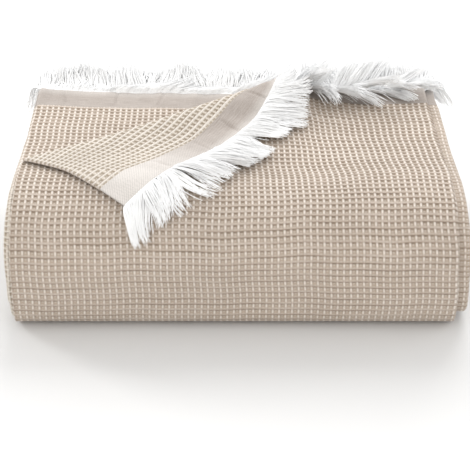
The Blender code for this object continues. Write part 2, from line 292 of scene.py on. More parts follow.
# The side of the cloth that is up on the top panel: across both of its slopes.
def clothNormal(u, w, held=None):
    alongU = placeCloth(u + shortStep, w, held) - placeCloth(u - shortStep, w, held)
    alongW = placeCloth(u, w + shortStep, held) - placeCloth(u, w - shortStep, held)
    return unit(np.cross(alongW, alongU))


# The length of the outer layer from the upper end to each v, which the front's bulge stretches:
# the sum of the short straight steps up to there.
pathCount = 6000
pathPlaces = np.linspace(0, pathLength, pathCount)
pathY, pathZ, pathHeadY, pathHeadZ = alongPasses(pathPlaces)
pathInward = -(bundle - folding["layerPitch"]) / 2
_, pathY, pathZ = settled(
    np.zeros(pathCount), pathY - pathHeadZ * pathInward, pathZ + pathHeadY * pathInward
)
pathArc = np.concatenate([[0], np.cumsum(np.hypot(np.diff(pathY), np.diff(pathZ)))])
clothLength = pathArc[-1]
print(f"flat cloth {clothWidth:.3f} x {clothLength:.3f} m")

# The waffle weave. Its ridges rise on both faces, half a cell apart, so the cloth is a soft
# grid of square pits. Lengths in metres.
weave = {
    "cellWidth": 0.0065,
    "cellLength": 0.0068,
    "bandWidth": 0.034,
    "core": 0.0002,
    "relief": 0.00145,
    "ridgeTop": 0.17,  # from a ridge's middle to the edge of its top, in cells
    "ridgeFoot": 0.31,
    "columnShare": 0.92,  # height of the columns' ridges beside the rows'
    "lowRows": 0.24,  # how much lower the rows' ridges are round the front
    "lowFrom": 16,  # the row where they begin to get lower, and over how many rows they do
    "lowRun": 12,
    "bandRise": 0.25,  # cells from the band over which the waffle gets its height
    "coarseStep": 0.024,
    "turnStep": 0.26,
    "bandHalf": 0.0007,
    "wander": 0.09,  # how far rows and columns wander, in cells
    "wanderU": (0.31, 0.8, 0.11, 0.6, 0.83, 0, 2),  # as crossedWaves reads it
    "wanderW": (0.27, 0.9, 0.13, 0.6, 0.71, 0, 4),
    "wanderRise": (4, 6),  # columns and rows from an edge over which they begin to wander
    "narrowing": 3.0,  # how many cells narrower the band is where the turned corner ends
    "narrowAt": 0.290,
    "narrowRun": 0.060,
    "narrowRows": 20,  # the row where this has faded
    "slant": 1.7,  # how many cells the columns lean over on the right of the top
    "slantAt": 0.34,
    "slantRun": 0.075,
    "slantRows": 26,
}

# The wrinkles and creases of the bands. Heights in metres, all else in cells.
wrinkles = {
    "rise": 1.5,  # from the waffle to where they have their full height
    "height": 0.0005,
    "rate": 0.9,  # radians for each column
    "slantDepth": 0.35,
    "slantRate": 1.3,
    "unevenDepth": 2.0,
    "unevenRate": 0.23,
    "longWave": (0.6, 0.47, 1.0),  # share of the height, rate and start
    "fineWave": (0.4, 2.1, 0.0),
    "creaseHeight": 0.0020,
    "creaseWidth": 0.32,
    "creaseSlant": 0.25,
    "creaseVary": 5,  # so that no two creases slant alike
    "creaseHump": 0.4,  # a crease is a hump with a shallow hollow on one side
    "creaseTilt": 2,
    "creases": (9.5, 18.5, 26.0, 34.5, 116.5, 123.8, 132.4),  # their columns
}
bandCells = weave["bandWidth"] / weave["cellLength"]
lastRow = clothLength / weave["cellLength"] - 2 * bandCells
lastColumn = clothWidth / weave["cellWidth"]


# 1 on the ridge round every whole number, 0 in the pit between, with a straight steep wall.
def ridge(cells):
    fromRidge = np.abs(cells - np.round(cells))
    wall = weave["ridgeFoot"] - weave["ridgeTop"]
    return np.clip((weave["ridgeFoot"] - fromRidge) / wall, 0, 1)


# The wall from the cloth's middle to one face: the higher of both ridges over a core, and level
# on the two bands.
def wallHeight(column, row, shift):
    across, along = ridge(column + shift) * weave["columnShare"], ridge(row + shift)
    lower = smoothStep((row - weave["lowFrom"]) / weave["lowRun"])
    along = along * (1 - weave["lowRows"] * lower)
    waffle = weave["core"] + weave["relief"] * np.maximum(across, along)
    inward = row / weave["bandRise"], (lastRow - row) / weave["bandRise"]
    onWaffle = smoothStep(inward[0]) * smoothStep(inward[1])
    return weave["bandHalf"] + (waffle - weave["bandHalf"]) * onWaffle


# Crosswise wrinkles of the thin bands: three waves along the end, and a few sharp slanting
# creases, each a tilted line times a bell curve. All of them fade towards the waffle.
def bandWrinkles(column, row):
    outside = np.maximum(-row, row - lastRow)
    share = smoothStep(outside / wrinkles["rise"])
    phase = column * wrinkles["rate"]
    phase = phase + wrinkles["slantDepth"] * np.sin(outside * wrinkles["slantRate"])
    phase = phase + wrinkles["unevenDepth"] * np.sin(column * wrinkles["unevenRate"])
    waves = np.sin(phase)
    for height, rate, start in (wrinkles["longWave"], wrinkles["fineWave"]):
        waves = waves + height * np.sin(column * rate + start)
    places = np.array(wrinkles["creases"])
    slant = np.sin(places * wrinkles["creaseVary"]) * wrinkles["creaseSlant"]
    away = column[..., None] - places - slant * outside[..., None]
    tilted = wrinkles["creaseHump"] - away * wrinkles["creaseTilt"]
    creases = np.sum(tilted * bell(away, 0, wrinkles["creaseWidth"]), axis=-1)
    return share * (wrinkles["height"] * waves + wrinkles["creaseHeight"] * creases)


# The flat cloth's u and w of a column and a row of the weave, counted in cells from the first
# selvedge and from the upper band. Slow waves make both wander a little, and bell curves slant
# the columns and narrow the band where the real ones do.
def weavePlaces(column, row):
    columnRise, rowRise = weave["wanderRise"]
    away = smoothStep(column / columnRise) * smoothStep((lastColumn - column) / columnRise)
    away = away * smoothStep((row + bandCells) / rowRise)
    away = away * smoothStep((lastRow + bandCells - row) / rowRise)
    shiftU = crossedWaves(row, column, weave["wanderU"])
    shiftW = crossedWaves(column, row, weave["wanderW"])
    slant = bell(column * weave["cellWidth"], weave["slantAt"], weave["slantRun"])
    slant = slant * weave["slant"] * smoothStep(1 - row / weave["slantRows"])
    u = weave["cellWidth"] * (column - slant + weave["wander"] * away * shiftU)
    narrow = weave["narrowing"] * bell(u, weave["narrowAt"], weave["narrowRun"])
    narrow = narrow * np.clip(1 + row / bandCells, 0, 1)
    narrow = narrow * smoothStep(1 - row / weave["narrowRows"])
    arc = weave["cellLength"] * (row + bandCells - narrow + weave["wander"] * away * shiftW)
    return u, np.interp(arc, pathArc, pathPlaces)


# Faces of a grid of vertex numbers, turned to point away from the other side.
def gridFaces(index, flip):
    faces = np.stack([index[:-1, :-1], index[1:, :-1], index[1:, 1:], index[:-1, 1:]], axis=-1)
    faces = faces.reshape(-1, 4)
    return faces[:, ::-1] if flip else faces


# A new object at the origin, in the scene.
def newObject(name, data):
    made = bpy.data.objects.new(name, data)
    bpy.context.scene.collection.objects.link(made)
    return made


# A smooth mesh at the origin from whole arrays: points, faces of three or four corners each,
# and where given, a material and the place in the weave for each face and point, and a normal
# for each face's corner.
def meshObject(name, points, faces, materials, faceMaterial=None, cells=None, normals=None):
    mesh = bpy.data.meshes.new(name)
    faces = np.asarray(faces, dtype=np.int32)
    corners = faces.shape[1]
    mesh.vertices.add(len(points))
    mesh.vertices.foreach_set("co", points.astype(np.float32).ravel())
    mesh.loops.add(faces.size)
    mesh.loops.foreach_set("vertex_index", faces.ravel())
    mesh.polygons.add(len(faces))
    mesh.polygons.foreach_set("loop_start", np.arange(0, faces.size, corners, dtype=np.int32))
    mesh.polygons.foreach_set("use_smooth", np.ones(len(faces), dtype=bool))
    for material in materials:
        mesh.materials.append(material)
    if faceMaterial is not None:
        mesh.polygons.foreach_set("material_index", faceMaterial.astype(np.int32))
    mesh.update(calc_edges=True)
    if cells is not None:
        layer = mesh.uv_layers.new(name="weave")
        layer.data.foreach_set("uv", cells[faces.ravel()].astype(np.float32).ravel())
    mesh.validate()
    if normals is not None:
        mesh.normals_split_custom_set(normals)
    return newObject(name, mesh)


# A closed piece of the cloth between the given columns and rows of the weave: the grid offset
# by the wall's height to both faces, and a rim round its edge. From the row levelFrom on it is
# as thick as its nearest ridge, since its rows there are too far apart for pits.
def makeClothPiece(name, columns, rows, materials, levelFrom=math.inf):
    column, row = np.meshgrid(columns, rows)
    wallRow = np.where(row > levelFrom, np.round(row), row)
    u, w = weavePlaces(column, row)
    middle, normal = placeCloth(u, w), clothNormal(u, w)
    wrinkle = bandWrinkles(column, row)
    upper = middle + normal * (wallHeight(column, wallRow, 0.0) + wrinkle)[..., None]
    lower = middle - normal * (wallHeight(column, wallRow, 0.5) - wrinkle)[..., None]
    count = column.size
    index = np.arange(count).reshape(column.shape)
    edge = np.concatenate([index[0, :-1], index[:-1, -1], index[-1, :0:-1], index[:0:-1, 0]])
    following = np.roll(edge, -1)
    rim = np.stack([edge, following, following + count, edge + count], axis=-1)
    faces = np.concatenate([gridFaces(index, False), gridFaces(index + count, True), rim])
    side = (len(faces) - len(rim)) // 2
    kinds = np.repeat([0, 1, 0], [side, side, len(rim)])  # the face, the back and the rim
    points = np.concatenate([upper.reshape(-1, 3), lower.reshape(-1, 3)])
    cells = np.stack([column.ravel(), row.ravel()], axis=-1)
    made = meshObject(name, points, faces, materials, kinds, np.concatenate([cells, cells]))
    flat = (
        (columns[-1] - columns[0]) * weave["cellWidth"],
        (rows[-1] - rows[0]) * weave["cellLength"],
    )
    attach(made, "root")
    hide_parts("waffle_cloth")
    print(f"{name}: {flat[0]:.3f} x {flat[1]:.3f} m flat, {2 * len(faces)} triangles")
    return made, flat


closest = 0.05  # the least step between two places of a grid, in cells


# Places between two counts of cells: the edges of each ridge's top and foot.
def ridgeSteps(first, last):
    top, foot = weave["ridgeTop"], weave["ridgeFoot"]
    whole = np.arange(math.floor(first), math.ceil(last) + 1)[:, None]
    inside = (whole + np.array([-foot, -top, top, foot])).ravel()
    inside = inside[(inside > first + closest) & (inside < last - closest)]
    return np.concatenate([[first], inside, [last]])


# Rows that are close in the turns and far apart between them. Each step uses up the same sum of
# its length over coarseStep and its turning over turnStep.
def rowsNearTurns(first, last):
    gap = 0.3  # the last step at either end isn't shorter, in cells
    heading = np.unwrap(np.arctan2(np.gradient(pathZ), np.gradient(pathY)))
    turning = np.concatenate([[0], np.cumsum(np.abs(np.diff(heading)))])
    effort = pathArc / weave["coarseStep"] + turning / weave["turnStep"]
    places = np.interp(np.arange(0, effort[-1], 1), effort, pathArc)
    rows = places / weave["cellLength"] - bandCells
    rows = rows[(rows > first + gap) & (rows < last - gap)]
    return np.concatenate([[first], rows, [last]])


# Material nodes, by a short name for each kind.
class nodeDesk:
    def __init__(self, name):
        self.material = bpy.data.materials.new(name)
        self.material.use_nodes = True
        self.tree = self.material.node_tree
        self.shader = self.tree.nodes["Principled BSDF"]

    # A new node of a kind, with its settings.
    def add(self, kind, **settings):
        node = self.tree.nodes.new("ShaderNode" + kind)
        for name, value in settings.items():
            setattr(node, name, value)
        return node

    # Gives a socket its value: another node's output, a number or a colour.
    def link(self, source, socket):
        if isinstance(source, (int, float)):
            socket.default_value = source
        elif isinstance(source, tuple):
            socket.default_value = (*source, 1.0) if len(socket.default_value) == 4 else source
        else:
            self.tree.links.new(source, socket)

    # One operation on two or three values, by Blender's name for it.
    def math(self, operation, first, second=None, third=None):
        node = self.add("Math", operation=operation)
        for value, socket in zip((first, second, third), node.inputs):
            if value is not None:
                self.link(value, socket)
        return node.outputs[0]

    # One value times the other.
    def times(self, first, second):
        return self.math("MULTIPLY", first, second)

    # A soft edge: smoothStep of the value's place between two others.
    def range(self, value, fromMin, fromMax, toMin=0.0, toMax=1.0):
        node = self.add("MapRange", interpolation_type="SMOOTHSTEP")
        for source, socket in zip((value, fromMin, fromMax, toMin, toMax), node.inputs):
            self.link(source, socket)
        return node.outputs[0]

    # 1 between a soft rising and a soft falling edge: one times the other.
    def strip(self, value, rise, fall):
        return self.times(self.range(value, *rise), self.range(value, *fall, 1, 0))

    # From the first colour to the second by the share, or the second blended another way.
    def mix(self, share, first, second, blend="MIX"):
        node = self.add("Mix", data_type="RGBA", blend_type=blend)
        for source, name in ((share, "Factor_Float"), (first, "A_Color"), (second, "B_Color")):
            self.link(source, next(s for s in node.inputs if s.identifier == name))
        return next(s for s in node.outputs if s.identifier == "Result_Color")

    # Soft noise from 0 to 1, with about scale patches to a metre or a cell of the place.
    def noise(self, vector, scale, detail=2.0, roughness=0.5):
        node = self.add("TexNoise")
        names = ("Vector", "Scale", "Detail", "Roughness")
        for name, source in zip(names, (vector, scale, detail, roughness)):
            self.link(source, node.inputs[name])
        return node.outputs["Fac"]

    # Three values as one.
    def vector(self, x, y, z=0.0):
        node = self.add("CombineXYZ")
        for value, socket in zip((x, y, z), node.inputs):
            self.link(value, socket)
        return node.outputs[0]

    # A value as a grey.
    def grey(self, value):
        return self.vector(value, value, value)

    # The surface's colour, its fine relief of height times bumpDistance, and its constants.
    def surface(self, colour, height, finish):
        bump = self.add("Bump")
        self.link(finish["bumpStrength"], bump.inputs["Strength"])
        self.link(finish["bumpDistance"], bump.inputs["Distance"])
        self.link(height, bump.inputs["Height"])
        self.link(bump.outputs[0], self.shader.inputs["Normal"])
        self.link(colour, self.shader.inputs["Base Color"])
        for name, value in finish["shader"].items():
            self.shader.inputs[name].default_value = value

    # Where a point lies, in metres.
    def objectPlace(self):
        return self.add("TexCoord").outputs["Object"]

    # The column and the row of the weave, from the piece's own map.
    def weavePlace(self):
        parts = self.add("SeparateXYZ")
        self.link(self.add("UVMap", uv_map="weave").outputs[0], parts.inputs[0])
        return parts.outputs[0], parts.outputs[1]


cottonColours = {
    "face": {
        "ridge": (0.478, 0.403, 0.338),
        # the pit: the weave's own darker ground, and partly painted shade in the hollow
        "pit": (0.440, 0.363, 0.296),
        "float": (0.690, 0.632, 0.578),
        # the colour of the painted shade on the pits' upper walls and under some rows
        "paintedShade": (0.220, 0.165, 0.118),
        "dashes": 0.65,  # how dark the painted shade on the pits' upper walls is
        "lines": 0.30,  # how bright the painted highlight on some rows' ridge tops is
    },
    "back": {
        "ridge": (0.555, 0.500, 0.435),
        # the pit: the weave's own darker ground, and partly painted shade in the hollow
        "pit": (0.385, 0.322, 0.252),
        "float": (0.640, 0.592, 0.535),
        # the colour of the painted shade on the pits' upper walls and under some rows
        "paintedShade": (0.215, 0.162, 0.112),
        "dashes": 0.75,
        "lines": 0.40,
    },
    "band": (0.325, 0.285, 0.256),
    "bandYarn": (0.380, 0.336, 0.305),
    # the band's pale end, and the painted light on the band near the turned corner
    "bandEnd": (0.620, 0.590, 0.560),
    "yarn": (0.885, 0.887, 0.890),
    "yarnShade": (0.82, 0.823, 0.828),
}


# Where the parts of a cell begin and end, in cells from the middle of a ridge. A pair is a soft
# edge, and two pairs are a strip between two of them.
cellParts = {
    "pitSide": (0.14, 0.22),
    "pitEnd": (0.18, 0.30),
    "knot": (0.34, 0.42),  # the light middle of a pit
    "rowFloat": (0.10, 0.20),
    "columnFloat": (0.09, 0.16),
    "floatDive": (0.16, 0.27),  # where a column's float comes out from under a row
    "dash": ((0.13, 0.20), (0.34, 0.44)),  # painted shade on the upper wall of a pit
    "line": ((0.06, 0.11), (0.18, 0.25)),  # painted shade under the ridges of some rows
    # painted highlight on the ridge tops of some rows
    "light": (0.05, 0.13),
    "band": 0.02,  # the row where the waffle begins
}

# The finish of the cotton. A stretch multiplies the columns or rows that a noise reads.
cottonFinish = {
    "moodStretch": 0.07,  # rows differ, and each keeps its mood over many columns
    "moodScale": 0.9,
    "patchStretch": 0.5,
    "patchScale": 1.3,
    "patchEdge": (0.2, 0.6),
    # which rows get painted shade under them and a painted highlight on their ridge tops
    "darkMood": (0.42, 0.60, 0.25, 1),
    "brightMood": (0.52, 0.36),
    "knotLight": 0.5,
    "lineDark": 0.8,
    "yarnsPerCell": 3,
    "crossingShade": 0.24,
    "fuzzScale": 900,
    "fuzzShade": 0.60,
    "toneScale": 9,
    "toneShade": 0.20,
    "slubStretch": (0.35, 6),
    "slubEdge": (0.35, 0.65),
    "paleFrom": 0.55,  # share of the band's width
    "paleEnd": 0.5,
    "paintedLightColumns": (3, 24),  # painted light on the band near the turned corner
    "cornerPaintedLight": 0.75,
    "hemPaintedLight": (0.24, 0.08),  # cells before the end, where the yarn's white is painted light over the shade
    "shader": {
        "Roughness": 0.92,
        "Specular IOR Level": 0.2,
        "Sheen Weight": 0.12,
        "Sheen Roughness": 0.6,
    },
    "crossingHeight": 0.35,
    "fuzzHeight": 0.8,
    "floatHeight": 0.8,
    "lineDepth": 0.8,
    "bumpDistance": 0.0004,
    "bumpStrength": 0.7,
}


# Waffle cotton: pits between ridges by the distance from whole cells, darker partly by the
# weave's own ground and partly by painted shade, bright floats on the ridges of one direction,
# painted shade as dark dashes on each pit's upper wall, painted shade under some rows with a
# painted highlight on their tops, and plain weave on the bands.
def waffleMaterial(name, look, shift, floatsOnRows):
    desk, finish = nodeDesk(name), cottonFinish
    column, row = desk.weavePlace()
    place = desk.objectPlace()
    columnPhase = desk.math("ADD", column, shift)
    rowPhase = desk.math("ADD", row, shift)
    fromColumn = desk.math("PINGPONG", columnPhase, 0.5)  # 0 on a ridge, 0.5 in a pit
    fromRow = desk.math("PINGPONG", rowPhase, 0.5)
    rowNumber = desk.math("FLOOR", desk.math("ADD", rowPhase, 0.5))
    offset = desk.math("SUBTRACT", rowPhase, rowNumber)
    mood = desk.vector(desk.times(column, finish["moodStretch"]), rowNumber)
    mood = desk.noise(mood, finish["moodScale"])
    patch = desk.vector(desk.times(column, finish["patchStretch"]), rowNumber)
    patch = desk.noise(patch, finish["patchScale"])

    # A pit is darker, partly by the weave's own ground and partly by painted shade in the
    # hollow.
    inColumn = desk.range(fromColumn, *cellParts["pitSide"])
    pit = desk.times(inColumn, desk.range(fromRow, *cellParts["pitEnd"]))
    colour = desk.mix(pit, look["ridge"], look["pit"])
    knot = desk.range(fromColumn, *cellParts["knot"])
    knot = desk.times(knot, desk.range(fromRow, *cellParts["knot"]))
    colour = desk.mix(desk.times(knot, finish["knotLight"]), colour, look["float"])
    if floatsOnRows:
        floats = desk.range(fromRow, *cellParts["rowFloat"], 1, 0)
    else:
        floats = desk.range(fromColumn, *cellParts["columnFloat"], 1, 0)
        floats = desk.times(floats, desk.range(fromRow, *cellParts["floatDive"]))
    colour = desk.mix(floats, colour, look["float"])
    # Painted shade: dark dashes on each pit's upper wall, in some patches.
    dash = desk.times(desk.strip(offset, *cellParts["dash"]), inColumn)
    dash = desk.times(dash, desk.range(patch, *finish["patchEdge"]))
    colour = desk.mix(desk.times(dash, look["dashes"]), colour, look["paintedShade"])
    # Painted shade: a dark line under the ridges of some rows.
    line = desk.strip(offset, *cellParts["line"])
    line = desk.times(line, desk.range(mood, *finish["darkMood"]))
    colour = desk.mix(desk.times(line, finish["lineDark"]), colour, look["paintedShade"])
    # Painted highlight on the ridge tops of some rows.
    light = desk.range(fromRow, *cellParts["light"], 1, 0)
    light = desk.times(light, desk.range(mood, *finish["brightMood"]))
    colour = desk.mix(desk.times(light, look["lines"]), colour, look["float"])

    # Single yarns that cross, loose fibres and slow changes of tone make it brighter or darker.
    yarnTurn = 2 * math.pi * finish["yarnsPerCell"]
    yarnAcross = desk.math("COSINE", desk.times(columnPhase, yarnTurn))
    yarnAlong = desk.math("COSINE", desk.times(rowPhase, yarnTurn))
    crossing = desk.times(yarnAcross, yarnAlong)
    fuzz = desk.noise(place, finish["fuzzScale"], 3, 0.6)
    tone = desk.noise(place, finish["toneScale"], 3)
    bright = desk.math("MULTIPLY_ADD", crossing, finish["crossingShade"], 1.0)
    for noise, shade in ((fuzz, finish["fuzzShade"]), (tone, finish["toneShade"])):
        bright = desk.math("MULTIPLY_ADD", desk.math("SUBTRACT", noise, 0.5), shade, bright)

    # The bands: plain weave with fine slubs, paler towards the end, with painted light near the
    # turned corner, and the yarn's white on the hem as painted light over the shade at the end.
    onBand = desk.math("LESS_THAN", row, cellParts["band"])
    onBand = desk.math("MAXIMUM", onBand, desk.math("GREATER_THAN", row, lastRow))
    slubColumn, slubRow = finish["slubStretch"]
    slub = desk.vector(desk.times(column, slubColumn), desk.times(row, slubRow))
    slub = desk.noise(slub, 1.0, 4)
    slubShare = desk.range(slub, *finish["slubEdge"])
    bandTone = desk.mix(slubShare, cottonColours["band"], cottonColours["bandYarn"])
    toEnd = desk.math("SUBTRACT", row, lastRow)
    toEnd = desk.math("MAXIMUM", desk.times(row, -1.0), toEnd)
    pale = desk.range(toEnd, bandCells * finish["paleFrom"], bandCells, 0, finish["paleEnd"])
    # Painted light: the band lighter near the turned corner.
    cornerPaintedLight = desk.range(column, *finish["paintedLightColumns"], finish["cornerPaintedLight"], 0)
    pale = desk.math("MAXIMUM", pale, cornerPaintedLight)
    bandTone = desk.mix(pale, bandTone, cottonColours["bandEnd"])
    # Painted light: the yarn's white on the band's last strip, over the shade at its end.
    hemPaintedLight = desk.range(toEnd, bandCells - finish["hemPaintedLight"][0], bandCells - finish["hemPaintedLight"][1])
    bandTone = desk.mix(hemPaintedLight, bandTone, cottonColours["yarn"])
    colour = desk.mix(onBand, colour, bandTone)
    colour = desk.mix(1.0, colour, desk.grey(bright), "MULTIPLY")

    raised = desk.times(fuzz, finish["fuzzHeight"])
    raised = desk.math("MULTIPLY_ADD", crossing, finish["crossingHeight"], raised)
    raised = desk.math("MULTIPLY_ADD", floats, finish["floatHeight"], raised)
    raised = desk.math("SUBTRACT", raised, desk.times(line, finish["lineDepth"]))
    desk.surface(colour, desk.mix(onBand, desk.grey(raised), desk.grey(slub)), finish)
    return desk.material


yarnFinish = {
    "shadeScale": 60,
    "shadeEdge": (0.3, 0.7),
    "fuzzScale": 700,
    "shader": {"Roughness": 0.9, "Specular IOR Level": 0.2},
    "bumpDistance": 0.0003,
    "bumpStrength": 0.5,
}


# White yarn: two near whites by a soft noise, with a fine fuzz.
def yarnMaterial():
    desk = nodeDesk("fringe yarn, white")
    place = desk.objectPlace()
    shade = desk.noise(place, yarnFinish["shadeScale"], 4)
    shade = desk.range(shade, *yarnFinish["shadeEdge"])
    colour = desk.mix(shade, cottonColours["yarnShade"], cottonColours["yarn"])
    desk.surface(colour, desk.noise(place, yarnFinish["fuzzScale"], 3), yarnFinish)
    return desk.material


faceCotton = waffleMaterial("waffle cotton, face", cottonColours["face"], 0.0, False)
backCotton = waffleMaterial("waffle cotton, back", cottonColours["back"], 0.5, True)
nextCotton = waffleMaterial("waffle cotton, next layer", cottonColours["face"], 0.5, False)
whiteYarn = yarnMaterial()
cotton = [faceCotton, backCotton]
nextLayer = [faceCotton, nextCotton]
print("materials made")

# Where the cloth is parted into pieces, in cells. What shows most gets the finest grid.
parting = {
    "intoStack": 1.5,  # cells past a pleat
    "shoulderRow": 21.0,
    "wrapEndRow": 54.0,
    "backEndRow": 100.0,
    "underPanelRow": 26.0,
    "bandPlaces": 15,  # of the grid, across a band and round a pleat
    "pleatPlaces": 5,
    "fineCells": 2,  # from a fold or selvedge, with columns as fine as on the top
    "seenCells": 1.0,  # between columns further on, where they show and where they don't
    "hiddenCells": 6.0,
    "seenStep": 0.5,  # between rows at the back
}
topEnd, nextEnd = (
    float(math.ceil(panelStarts[panel] / weave["cellWidth"] + parting["intoStack"]))
    for panel in (1, 2)
)
firstRow = -bandCells
endRow = lastRow + bandCells


# Columns that are fine beside each pleat and selvedge and coarse between them: each panel's own
# places, joined and sorted, without those that lie too close.
def columnsNearFolds(first, last, panels, coarseCells):
    found, nearCells, slack = [np.array([first, last])], parting["fineCells"], 1e-9
    for panel in panels:
        start = panelStarts[panel] / weave["cellWidth"]
        end = start + panelRuns[panel] / weave["cellWidth"]
        pleatEnd = end + pleatRun / weave["cellWidth"]
        found.append(ridgeSteps(max(start, first), min(start + nearCells, last)))
        found.append(np.arange(math.ceil(start + nearCells), end - nearCells, coarseCells))
        found.append(ridgeSteps(end - nearCells, min(end, last)))
        if panel < panelCount - 1:
            found.append(np.linspace(end, pleatEnd, parting["pleatPlaces"]))
    places = np.unique(np.round(np.concatenate(found), 6))
    places = places[(places >= first - slack) & (places <= last + slack)]
    keep = np.concatenate([[True], np.diff(places) > closest])
    keep[-1] = True
    return places[keep]


bandRows = np.linspace(firstRow, 0.0, parting["bandPlaces"])
topColumns = ridgeSteps(0.0, topEnd)
underColumns = ridgeSteps(topEnd, nextEnd)
topRows = np.concatenate([bandRows[:-1], ridgeSteps(0.0, parting["shoulderRow"])])
wrapRows = ridgeSteps(parting["shoulderRow"], parting["wrapEndRow"])
underRows = np.concatenate([bandRows[:-1], ridgeSteps(0.0, parting["underPanelRow"])])

topPanel, topFlat = makeClothPiece("top_panel", topColumns, topRows, cotton)
frontWrap, frontFlat = makeClothPiece("front_wrap", topColumns, wrapRows, cotton)
underPanel, underFlat = makeClothPiece("under_panel", underColumns, underRows, nextLayer)

outerColumns = columnsNearFolds(0.0, topEnd, [0, 1], parting["seenCells"])
seenRows = np.arange(parting["wrapEndRow"], parting["backEndRow"], parting["seenStep"])
outerRows = np.concatenate([seenRows, rowsNearTurns(parting["backEndRow"], endRow)])
outerRest, outerFlat = makeClothPiece(
    "outer_rest", outerColumns, outerRows, cotton, parting["backEndRow"]
)
nextColumns = columnsNearFolds(topEnd, nextEnd, [0, 1, 2], parting["hiddenCells"])
nextRows = rowsNearTurns(parting["underPanelRow"], endRow)
nextRest, nextFlat = makeClothPiece("under_rest", nextColumns, nextRows, cotton, 0)
innerColumns = columnsNearFolds(nextEnd, lastColumn, [2, 3, 4], parting["hiddenCells"])
innerRows = rowsNearTurns(firstRow, endRow)
innerFolds, innerFlat = makeClothPiece("inner_folds", innerColumns, innerRows, cotton, 0)

# The fringe. Its yarns gather in tufts: those of a tuft lie side by side round a soft oval,
# follow one curve and end raggedly, and a few tufts lean together in a clump. A tuft's first
# yarn is its core, a wide one that stands for the yarns hidden inside. Lengths in metres.
fringe = {
    "length": 0.057,
    "tuftEvery": 0.0078,
    "tuftJitter": 0.10,  # share of that distance
    "tuftWidth": 0.0155,
    "widthVary": (0.85, 1.15),
    "widthForm": (0.70, 0.36, 0.7, 0.10),  # at the root, more midway, power, less at the tip
    "tuftHeight": 0.0032,
    "heightVary": (0.55, 1),
    "heightForm": (0.25, 0.75, 0.6, 0.2),  # at the root, more midway, power, more at the tip
    "ovalPast": 0.45,  # how far the oval goes on below its sides, in radians
    "ovalJitter": 0.05,
    "yarnHalf": 0.00062,
    "yarnThick": 0.00034,
    "yarnVary": (0.8, 1.25),
    "yarnTaper": 0.55,
    "coreHalf": 0.0048,
    "coreThick": 0.0006,
    "coreLength": 0.76,
    "coreRoot": 0.15,  # share of its width at the root
    "coreRise": 0.25,  # share of its length over which it widens
    "coreTaper": 0.7,
    "ragged": 0.26,
    "raggedPower": 1.5,
    "bendPower": 0.8,
    "clump": (0.016, 0.034),  # narrowest and widest clump
    "gather": 0.42,  # how far a clump's tufts draw together
    "overlap": 0.0032,  # how far every other clump lies above its neighbours
    "overlapRise": 3,
    "curl": 0.0022,
    "curlTurn": 4.5,
    # How much clumps differ, and the tufts of one clump.
    "startSpread": (0.5, 0.25),
    "finishSpread": (0.9, 0.45),
    "leanSpread": (0.17, 0.08),
    "reachSpread": (0.06, 0.03),
    "curlSpread": (4, 0.5),
    "strays": 0.03,  # share of the yarns that leave their tuft
    "finishStray": (14, 8),  # degrees, for those and for the others
    "leanStray": (0.25, 0.05),
    "pastEnd": 0.0003,  # from the cloth's end to where a yarn leaves it
    "rootInset": 0.0015,  # how far before the cloth's end the yarns begin
    "rootBury": 0.0009,  # how deep in the band
    "rootHump": 0.0014,  # how high they then rise over its end, and where that starts and ends
    "rootRise": 0.004,
    "rootFade": 0.012,
    "leastLift": 0.0006,  # above the cloth they lie on, and share of the oval's height
    "liftShare": 0.5,
    "roofTurn": 0.5,  # how far a yarn at a tuft's side turns outwards
}


# Closed ribbons of triangular section along paths of shape (ribbons, points, 3): level below
# and slightly roofed above, where upwards is given. Also the normals of their faces' corners,
# which are smooth along a ribbon and sharp across it.
def ribbons(paths, upwards, half, thick):
    tangent = unit(np.gradient(paths, axis=1))
    over = unit(upwards - tangent * np.sum(upwards * tangent, axis=-1, keepdims=True))
    aside = np.cross(tangent, over)
    turn = np.array([math.pi / 2, math.pi * 7 / 6, math.pi * 11 / 6])
    half, thick = half[..., None, None], thick[..., None, None]
    flat, tall = half * np.cos(turn)[:, None], thick * np.sin(turn)[:, None]
    points = paths[:, :, None] + aside[:, :, None] * flat + over[:, :, None] * tall
    count, length = paths.shape[:2]
    index = np.arange(count * length * 3).reshape(count, length, 3)
    near, far = index[:, :-1], index[:, 1:]
    nearNext, farNext = np.roll(near, -1, axis=2), np.roll(far, -1, axis=2)
    walls = np.stack([near, farNext, nearNext, near, far, farNext], axis=-1)
    rise, run = np.roll(tall, -1, axis=2) - tall, np.roll(flat, -1, axis=2) - flat
    wallNormal = unit(aside[:, :, None] * rise - over[:, :, None] * run)
    first, last = wallNormal[:, :-1], wallNormal[:, 1:]
    wallNormals = np.stack([first, first, first, first, last, last], axis=-2)
    wallNormals[..., 1, :] = last
    caps = np.concatenate([index[:, 0], index[:, -1, ::-1]])
    capNormals = np.repeat(np.concatenate([-tangent[:, 0], tangent[:, -1]]), 3, axis=0)
    faces = np.concatenate([walls.reshape(-1, 3), caps])
    normals = np.concatenate([wallNormals.reshape(-1, 3), capNormals])
    return points.reshape(-1, 3), faces, normals


